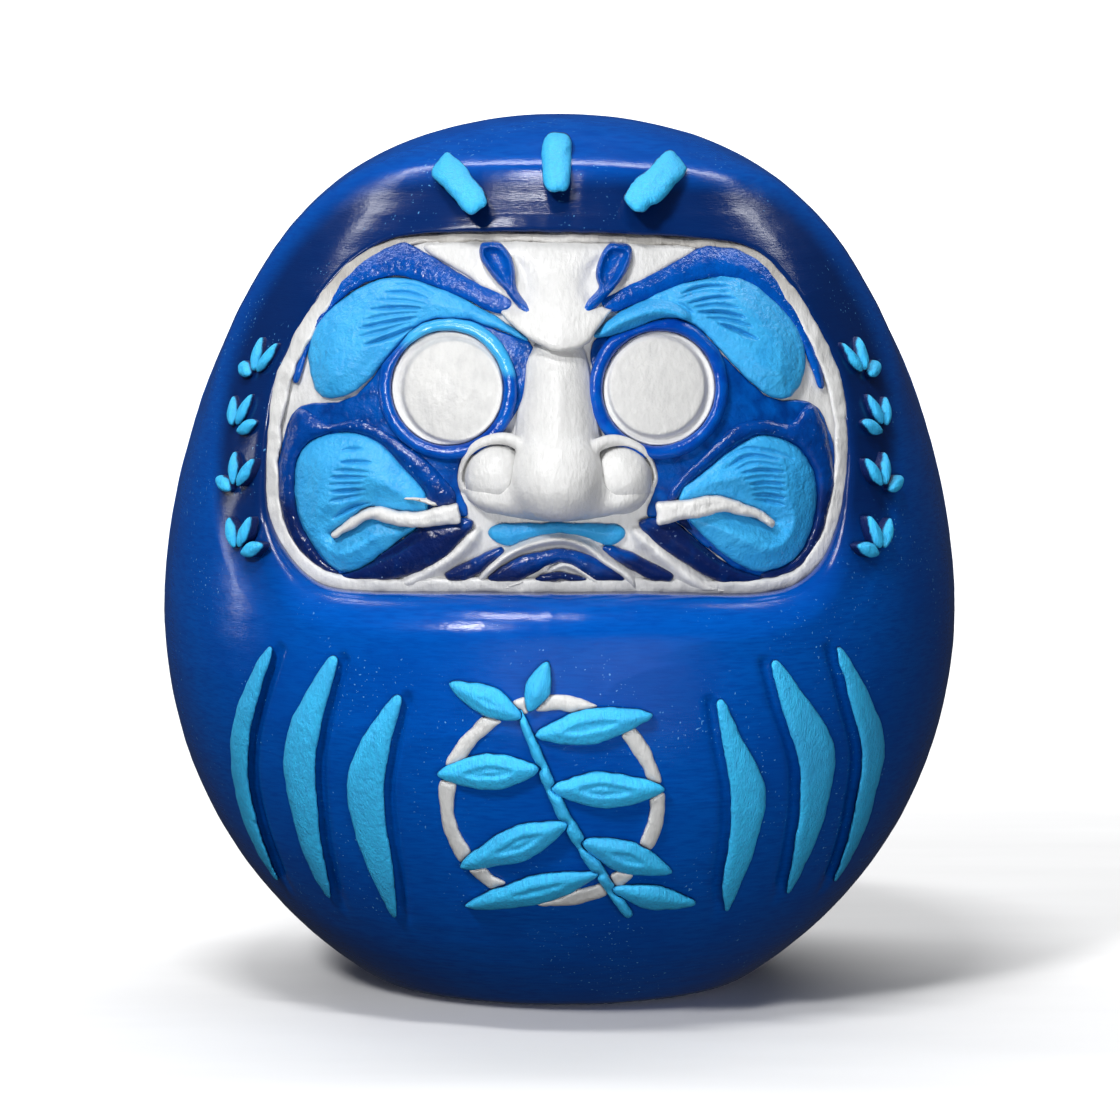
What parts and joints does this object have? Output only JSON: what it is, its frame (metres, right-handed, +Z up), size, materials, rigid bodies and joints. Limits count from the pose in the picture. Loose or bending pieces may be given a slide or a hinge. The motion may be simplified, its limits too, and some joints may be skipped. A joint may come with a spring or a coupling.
{
  "type": "daruma doll",
  "caption": "Round weighted daruma doll: a hollow two-part shell with a recessed stern face, raised brows and cheeks, side stripes and a leaf badge on the belly.",
  "frame": {"origin": "centre of the flat base, on the surface that the doll stands on", "axes": "+Z up; the face looks along -Y; +X is to the viewer's right"},
  "size_m": [0.1644, 0.167, 0.18],
  "materials": {
    "body_blue": "glossy blue paint with fine brush lines",
    "base_cover": "matt board",
    "clay": "rough unglazed clay",
    "face_white": "satin white paint over gesso",
    "relief_sky": "satin light blue paint",
    "relief_blue": "glossy blue paint",
    "relief_navy": "glossy dark blue paint"
  },
  "bodies": {
    "root": {"front_shell": "body_blue", "back_shell": "body_blue", "base_plate": "base_cover", "ballast_weight": "clay", "face_plate": "face_white", "face_rim": "face_white", "forehead_pad": "face_white", "nose": "face_white", "left_nostril_wing": "face_white", "right_nostril_wing": "face_white", "upper_lip": "relief_sky", "left_cheek_pad": "relief_navy", "right_cheek_pad": "relief_navy", "left_eye_disc": "face_white", "right_eye_disc": "face_white", "left_eye_ring": "relief_blue", "right_eye_ring": "relief_blue", "left_brow_fan": "relief_sky", "right_brow_fan": "relief_sky", "left_brow_crest": "relief_blue", "right_brow_crest": "relief_blue", "left_brow_leaf": "relief_blue", "right_brow_leaf": "relief_blue", "left_cheek_ridge": "relief_navy", "right_cheek_ridge": "relief_navy", "left_cheek_fan": "relief_sky", "right_cheek_fan": "relief_sky", "left_whisker": "face_white", "right_whisker": "face_white", "left_moustache": "relief_navy", "right_moustache": "relief_navy", "left_beard_bar": "relief_navy", "right_beard_bar": "relief_navy", "beard_arch": "relief_navy", "beard_tuft": "relief_navy", "hood_strip_left": "relief_sky", "hood_strip_middle": "relief_sky", "hood_strip_right": "relief_sky", "left_outer_stripe": "relief_sky", "left_middle_stripe": "relief_sky", "left_inner_stripe": "relief_sky", "right_inner_stripe": "relief_sky", "right_middle_stripe": "relief_sky", "right_outer_stripe": "relief_sky", "belly_ring": "face_white", "belly_stem": "relief_sky", "belly_leaves": "relief_sky", "left_side_sprigs": "relief_sky", "right_side_sprigs": "relief_sky"}
  },
  "joints": []
}
